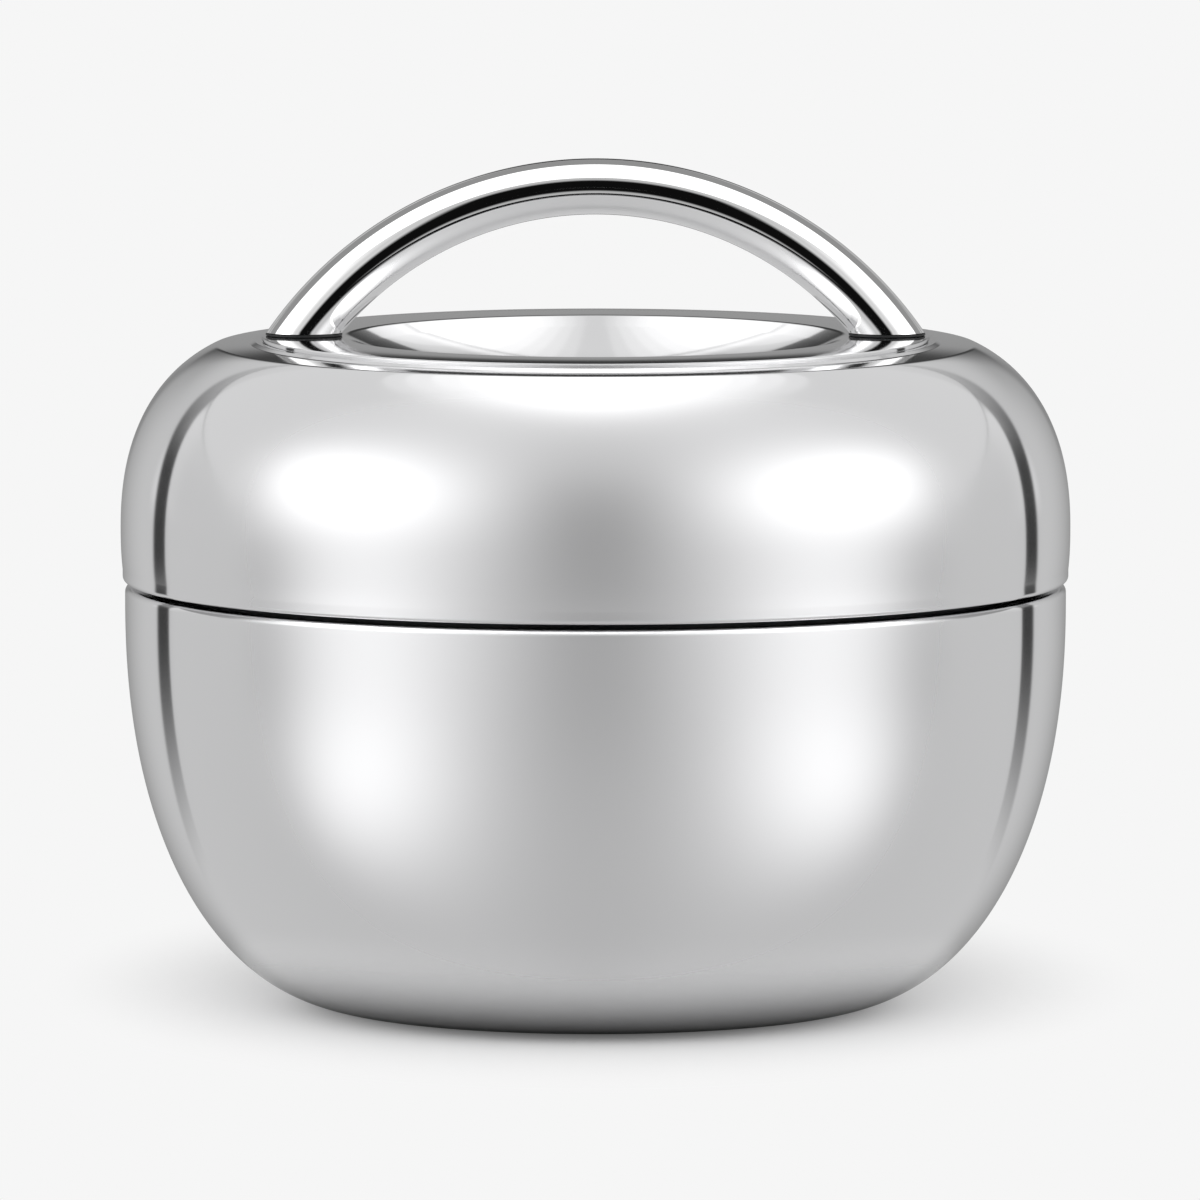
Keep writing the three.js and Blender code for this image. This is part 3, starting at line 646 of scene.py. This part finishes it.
# %% [markdown]
# ## Steel, plastic, silicone and foam inside
#
# The food bowl is brushed on a lathe, so its marks are rings about the axis: the noise reads only the
# distance from the axis and the height. Moulded plastic and silicone have a faint, even texture from the
# mould, and poured foam has cells. Real brush marks and mould texture are finer than the render can
# show, so the grain here is as coarse as it has to be.

# %% Other finishes
GRAINS = [  # slot, name, colour, second colour, roughness, its spread, grain and depth in millimetres
    # fine rings that draw the light out into soft streaks
    ("brushed_steel", "stainless steel, brushed on a lathe", "#bfc0c1", "#d3d4d5", 0.3, 0.12, 0.7, 0.006),
    # satin, nearly black, with a dull sheen: the plastic's own colour, and on the neck ring also painted
    # shade that makes the groove between lid and bowl read black
    ("dark_plastic", "polypropylene, dark, moulded", "#26282a", "#303234", 0.45, 0.08, 1.2, 0.02),
    # satin, light grey, with a dull sheen
    ("pale_plastic", "polypropylene, pale, moulded", "#d5d6d7", "#dddedf", 0.42, 0.08, 1.2, 0.02),
    # matt black that takes little light
    ("black_silicone", "silicone, black, moulded", "#121314", "#181a1b", 0.5, 0.1, 1.5, 0.02),
    # milky white with a soft shine
    ("clear_silicone", "silicone, milky, moulded", "#e2e4e2", "#eaeae9", 0.4, 0.06, 1.5, 0.02),
    # matt, cream, with open cells
    ("foam", "polyurethane foam, poured", "#dccd9f", "#f2e9cf", 0.9, 0.05, 1.6, 0.4),
]

finishes = {"polished_steel": buffed}
for slot, name, code, second, roughness, spread, size, depth in GRAINS:
    metal = slot == "brushed_steel"
    finishes[slot], tree, shader = finish(name, code, roughness, 1.0 if metal else 0.0)
    place = add(tree, "ShaderNodeTexCoord").outputs["Object"]
    if metal:
        level = add(tree, "ShaderNodeVectorMath", TIMES, _0=place, _1=(1, 1, 0))
        radius = add(tree, "ShaderNodeVectorMath", LENGTH, _0=level).outputs["Value"]
        height = add(tree, "ShaderNodeSeparateXYZ", Vector=place).outputs["Z"]
        place = add(tree, "ShaderNodeCombineXYZ", X=radius, Z=height)
    grain(tree, shader, place, size, depth, spread, second)
print(len(finishes) + 1, "finishes")

# %% [markdown]
# ## Dressing
#
# A piece could get its material where it is made. All of it is done here, because the slot that each
# piece names already says which finish it takes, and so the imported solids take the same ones. Only the
# handle differs from its slot: it is polished further than the other steel.

# %% Dressing
def dress(piece, made):
    """One finish in place of whatever the piece had."""
    piece.data.materials.clear()
    piece.data.materials.append(made)


slots = {part["node"]: part["material_slot"] for part in frame["record"]["subparts"]}
for node, solid in frame["nodes"].items():
    dress(solid, finishes[slots[node]])
for piece in bpy.context.scene.objects:
    if "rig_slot" in piece:
        dress(piece, finishes[piece["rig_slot"]])
dress(handle, mirror)
print(len(slots), "pieces dressed")

# %% [markdown]
# ## Floor
#
# The box stands on pale paper with a soft shadow. Under a bright dome the paper would be grey beside the
# steel, so it glows a little away from the box and leaves the shadow under it alone. That glow makes the
# paper evenly white, and it is also painted light: it fills in the paper's own shade outside an ellipse
# round the box, so the ellipse paints the shadow's outline. Paper that reached far out would fill the lower
# half of the steel with one tone, so reflections see it only near the foot. Close to the base they see a
# darker grey paper, which is painted shade for the shadow there, and past that they see the lower half of
# the dome.

# %% Floor
FLOOR_RADIUS = 14  # metres, and so are the distances below
# Painted light: outside this ellipse the glow hides the paper's shade, so the ellipse sets the shadow's
# outline.
PAINTED_SHADOW_OUTLINE = (0.04, 0.62, 0.036, 0.098)  # middle in Y, squeeze in Y, where the glow starts, where it is whole
PAPER_ENDS = (0, 1, 0.05, 0.08)  # the same, for where reflections stop seeing the paper
# Painted shade: within this distance, reflections see a darker grey paper that stands for the shadow under
# the base.
PAINTED_SHADE_NEAR_BASE = (0, 1, 0.077, 0.045)  # the same, but whole at the nearer distance

bpy.ops.mesh.primitive_circle_add(vertices=64, radius=FLOOR_RADIUS, fill_type="NGON")
floor = bpy.context.object
floor.name = "floor"
paper, tree, shader = finish("paper, pale, matt", "#f7f7f7", 0.9)
floor.data.materials.append(paper)
path = add(tree, "ShaderNodeLightPath").outputs
where = add(tree, "ShaderNodeTexCoord").outputs["Object"]


def far_from(middle_y, squeeze, none, whole):
    """Smooth step from 0 at one distance from a point of the floor to 1 at another, with Y squeezed."""
    offset = add(tree, "ShaderNodeVectorMath", {"operation": "MULTIPLY_ADD"}, _0=where, _1=(1, squeeze, 1),
                 _2=(0, -middle_y * squeeze, 0))
    distance = add(tree, "ShaderNodeVectorMath", LENGTH, _0=offset).outputs["Value"]
    return add(tree, "ShaderNodeMapRange", SMOOTH, Value=distance, From_Min=none, From_Max=whole)


seen = add(tree, "ShaderNodeMath", PLUS, _0=path["Is Camera Ray"], _1=path["Is Transmission Ray"])
seen = add(tree, "ShaderNodeMath", PLUS, _0=seen, _1=path["Is Glossy Ray"])
# Painted light: emission that whitens the paper and fills its shade away from the box, for the camera and for
# reflections.
glow = add(tree, "ShaderNodeMath", TIMES, _0=seen, _1=far_from(*PAINTED_SHADOW_OUTLINE))
painted_shade_share = add(tree, "ShaderNodeMath", TIMES, _0=far_from(*PAINTED_SHADE_NEAR_BASE), _1=path["Is Glossy Ray"])
past = add(tree, "ShaderNodeMath", TIMES, _0=far_from(*PAPER_ENDS), _1=path["Is Glossy Ray"])
painted_paper_light = add(tree, "ShaderNodeEmission", Color=linear("#f6f6f6"), Strength=1.0)
# Painted shade: grey paper that only reflections see near the base. It is darker than the real paper, on top
# of the real shade it gets.
shaded = add(tree, "ShaderNodeBsdfDiffuse", Color=linear("#a4a4a4"))
clear = add(tree, "ShaderNodeBsdfTransparent")
surface = add(tree, "ShaderNodeMixShader", _0=glow, _1=shader, _2=painted_paper_light)
surface = add(tree, "ShaderNodeMixShader", _0=painted_shade_share, _1=surface, _2=shaded)
surface = add(tree, "ShaderNodeMixShader", _0=past, _1=surface, _2=clear)
tree.links.new(surface.outputs[0], tree.nodes["Material Output"].inputs["Surface"])
print(f"floor of {2 * FLOOR_RADIUS} m")

# %% [markdown]
# ## Light
#
# Polished steel shows what stands round it, so most of its look is light. A photographer hangs white and
# black panels round the box. Area lights could stand for all of them, but each would also light the rest.
# Here the panels are painted on the world as a function of direction, each with soft edges and a level.
# Azimuth 0 is towards the camera and 180 behind the box, and both sides are alike. Ends of -60 and 240
# lie past that range, so there is no edge there.

# %% Panels
DOME = 0.8  # level where there is no panel
PANELS = [  # azimuth from, to, edge; elevation from, to, edge; level
    (-60, 240, 1, -91, -1, 6, 0.65),  # lower half
    (-60, 24, 36, -91, -14, 10, 0.52),  # lower front
    (-60, 240, 1, 32, 91, 33, 0.85),  # ceiling
    (-60, 25, 40, 25, 80, 20, 0.58),  # ceiling over the camera
    (78, 128, 16, -15, 20, 40, 0.67),  # side walls
    (-60, 14.2, 8, -14, 30, 8, 0.005),  # black flag round the camera
    (42, 78, 40, 8, 31, 23, 3.5),  # pair of lamps that light the lid
    (44, 69, 32, -28, -10, 16, 3.4),  # pair of lamps that light the bowl
    (30, 85, 25, -11, -3, 5, 0.05),  # dark gap between them
    (138, 240, 5, -20, 30, 8, 0.64),  # wall behind
    (159, 240, 38, -26, 20, 12, 0.32),  # darker middle of it
    (170, 240, 12, -2, 30, 5, 0.05),  # black flag behind the lid
    (170, 240, 12, -2, 7, 3, 0.32),  # its paler foot
]
world = bpy.data.worlds.new("studio")
bpy.context.scene.world = world
world.use_nodes = True
tree = world.node_tree
tree.nodes.clear()


def within(value, none, whole, still_whole, none_again):
    """Product of two smooth steps: 0 up to one value, 1 between the next two, and 0 again from the last."""
    up = add(tree, "ShaderNodeMapRange", SMOOTH, Value=value, From_Min=none, From_Max=whole)
    down = add(tree, "ShaderNodeMapRange", SMOOTH, Value=value, From_Min=none_again, From_Max=still_whole)
    return add(tree, "ShaderNodeMath", TIMES, _0=up, _1=down)


def soft_range(angle, start, stop, soft):
    """1 inside a range of degrees and 0 outside, with edges of a soft width."""
    ends = (start - soft / 2, start + soft / 2, stop - soft / 2, stop + soft / 2)
    return within(angle, *(math.radians(end) for end in ends))


toward = add(tree, "ShaderNodeTexCoord").outputs["Generated"]
x, y, z = add(tree, "ShaderNodeSeparateXYZ", Vector=toward).outputs
aside = add(tree, "ShaderNodeMath", {"operation": "ABSOLUTE"}, _0=x)
front = add(tree, "ShaderNodeMath", TIMES, _0=y, _1=-1.0)
azimuth = add(tree, "ShaderNodeMath", {"operation": "ARCTAN2"}, _0=aside, _1=front)
elevation = add(tree, "ShaderNodeMath", {"operation": "ARCSINE"}, _0=z)
light = DOME
for az_from, az_to, az_soft, el_from, el_to, el_soft, level in PANELS:
    share = add(tree, "ShaderNodeMath", TIMES, _0=soft_range(azimuth, az_from, az_to, az_soft),
                _1=soft_range(elevation, el_from, el_to, el_soft))
    light = add(tree, "ShaderNodeMix", {"data_type": "FLOAT"}, _0=share, _2=light, _3=level)
print(len(PANELS), "panels of light")

# %% [markdown]
# ## Window and dark seam behind
#
# Behind the box stands a flat wall with a wide window. Straight lines on a flat wall stay simple in the
# wall's own coordinates: how far aside and how far up a ray goes for each step back. The dark line that
# runs down both sides of lid and bowl is a seam in the shape of an arch, which is a band of an ellipse.

# %% Window and seam
LEAST_BACK = 0.001  # keeps the shares finite for rays towards the camera
WINDOW_RISE = (0.61, 0.64, 3.5, 3.8)
WINDOW_HALF = (-2, -1, 5.0, 8.0)  # shares aside are never under 0, so only the outer edge shows
WINDOW_LEVEL = 0.33
ARCH_HALF_WIDTH = 1.19
ARCH_HEIGHT = 0.75
SEAM = (0.8, 0.86, 1.04, 1.08)  # across the band, 1 on the ellipse
SEAM_ELEVATION = (-23, -5, 6, 42)  # degrees
SEAM_DARKNESS = 0.92

back = add(tree, "ShaderNodeMath", {"operation": "MAXIMUM"}, _0=y, _1=LEAST_BACK)
side = add(tree, "ShaderNodeMath", OVER, _0=aside, _1=back)
rise = add(tree, "ShaderNodeMath", OVER, _0=z, _1=back)
window = add(tree, "ShaderNodeMath", TIMES, _0=within(rise, *WINDOW_RISE), _1=within(side, *WINDOW_HALF))
light = add(tree, "ShaderNodeMix", {"data_type": "FLOAT"}, _0=window, _2=light, _3=WINDOW_LEVEL)

across = add(tree, "ShaderNodeMath", OVER, _0=side, _1=ARCH_HALF_WIDTH)
up = add(tree, "ShaderNodeMath", OVER, _0=rise, _1=ARCH_HEIGHT)
arch = add(tree, "ShaderNodeCombineXYZ", X=across, Y=up)
arch = add(tree, "ShaderNodeVectorMath", LENGTH, _0=arch).outputs["Value"]
ends = within(elevation, *(math.radians(end) for end in SEAM_ELEVATION))
seam = add(tree, "ShaderNodeMath", TIMES, _0=within(arch, *SEAM), _1=ends)
left = add(tree, "ShaderNodeMath", {"operation": "MULTIPLY_ADD"}, _0=seam, _1=-SEAM_DARKNESS, _2=1.0)
light = add(tree, "ShaderNodeMath", TIMES, _0=light, _1=left)
studio = add(tree, "ShaderNodeBackground", Color=(1, 1, 1, 1), Strength=light)
add(tree, "ShaderNodeOutputWorld", Surface=studio)
print(len(tree.nodes), "nodes in the world")

# %% [markdown]
# ## Softboxes
#
# A few lights show in one piece only, as when a photographer flags a lamp off from the rest: the bright
# line along the handle, the pool of light at the front of the lid, the rim of the bowl, and the window in
# lid and dish. Light linking does that. Several lights of growing size stand behind one another where the
# edge has to be soft, each on a plane of its own, because a ray sees only one of two lights at the same
# distance. Too many in a row would use up the bounces that a ray has for passing through, so there are six.

# %% Softbox function
def softbox(name, shape, middle, size, tilt, level, pieces):
    """Area light in millimetres that shows only in the steel of some pieces: power = 4 * area * level."""
    lamp = bpy.data.lights.new(name, "AREA")
    lamp.shape = shape
    lamp.size, lamp.size_y = size[0] * MM, size[1] * MM
    area = lamp.size * lamp.size_y * (math.pi / 4 if shape == "ELLIPSE" else 1)
    lamp.energy = 4 * area * level
    panel = bpy.data.objects.new(name, lamp)
    bpy.context.scene.collection.objects.link(panel)
    panel.location = np.array(middle) * MM
    panel.rotation_euler[0] = math.radians(tilt)
    panel.visible_camera = panel.visible_diffuse = False
    seen_by = bpy.data.collections.new(name)
    for piece in pieces:
        seen_by.objects.link(piece)
    panel.light_linking.receiver_collection = seen_by


# %% Softboxes
LAMP_Z = 230  # height of the softboxes over the box
POOL_WIDTHS = range(45, 195, 25)
POOL_LONG = 200
POOL_LEVEL = 0.11
WINDOW_Y = 2000
LEVEL = 0  # tilt of a light that faces down
UPRIGHT = -90  # tilt of a light that faces the box from behind
EDGE_WIDTHS = range(50, 320, 45)  # from the middle of the window to where each layer starts
EDGE_OUTER = 700
EDGE_STEP = 20
EDGE_Z = 2100
EDGE_TALL = 2600
EDGE_LEVEL = 0.083

softbox("softbox over the handle", "RECTANGLE", middle=(0, -41, LAMP_Z), size=(600, 128), tilt=LEVEL,
        level=0.7, pieces=[handle])
for layer, width in enumerate(POOL_WIDTHS):
    softbox(f"softbox over the lid, {width} mm", "ELLIPSE", middle=(0, -5, LAMP_Z + layer),
            size=(width, POOL_LONG), tilt=LEVEL, level=POOL_LEVEL, pieces=[lid_shell])
softbox("softbox for the rim of the bowl", "ELLIPSE", middle=(0, -90, LAMP_Z), size=(500, 160), tilt=LEVEL,
        level=3.0, pieces=[bowl_shell])
softbox("window behind", "RECTANGLE", middle=(0, WINDOW_Y, 4400), size=(30000, 6000), tilt=UPRIGHT,
        level=0.36, pieces=[lid_shell, dish])
for layer, inner in enumerate(EDGE_WIDTHS):
    for hand in (-1, 1):
        middle = (hand * (inner + EDGE_OUTER) / 2, WINDOW_Y - EDGE_STEP * (layer + 1), EDGE_Z)
        softbox(f"edge of the window, {hand * inner} mm", "RECTANGLE", middle,
                size=(EDGE_OUTER - inner, EDGE_TALL), tilt=UPRIGHT, level=EDGE_LEVEL, pieces=[dish])
print(len(bpy.data.lights), "softboxes")

# %% [markdown]
# ## Camera
#
# The photograph shows hardly any perspective, so the camera stands far off and has a long lens. It looks
# down by the angle that the ellipse of the groove between lid and bowl gives.

# %% Camera
CAMERA_DISTANCE = 3.48
CAMERA_ELEVATION = math.radians(5.55)
CAMERA_TARGET = (0.00078, 0.0, 0.0715)
FIELD = 0.2086  # width of the picture at the box, in metres
SENSOR = 36
CLIP_END = 100

lens = bpy.data.cameras.new("camera")
lens.sensor_width = SENSOR
lens.lens = SENSOR * CAMERA_DISTANCE / FIELD
lens.clip_end = CLIP_END
camera = bpy.data.objects.new("camera", lens)
bpy.context.scene.collection.objects.link(camera)
camera.location = (CAMERA_TARGET[0], CAMERA_TARGET[1] - CAMERA_DISTANCE * math.cos(CAMERA_ELEVATION),
                   CAMERA_TARGET[2] + CAMERA_DISTANCE * math.sin(CAMERA_ELEVATION))
camera.rotation_euler = (math.pi / 2 - CAMERA_ELEVATION, 0, 0)
bpy.context.scene.camera = camera
bpy.context.scene.view_settings.view_transform = "Standard"
print(f"lens of {lens.lens:.0f} mm")
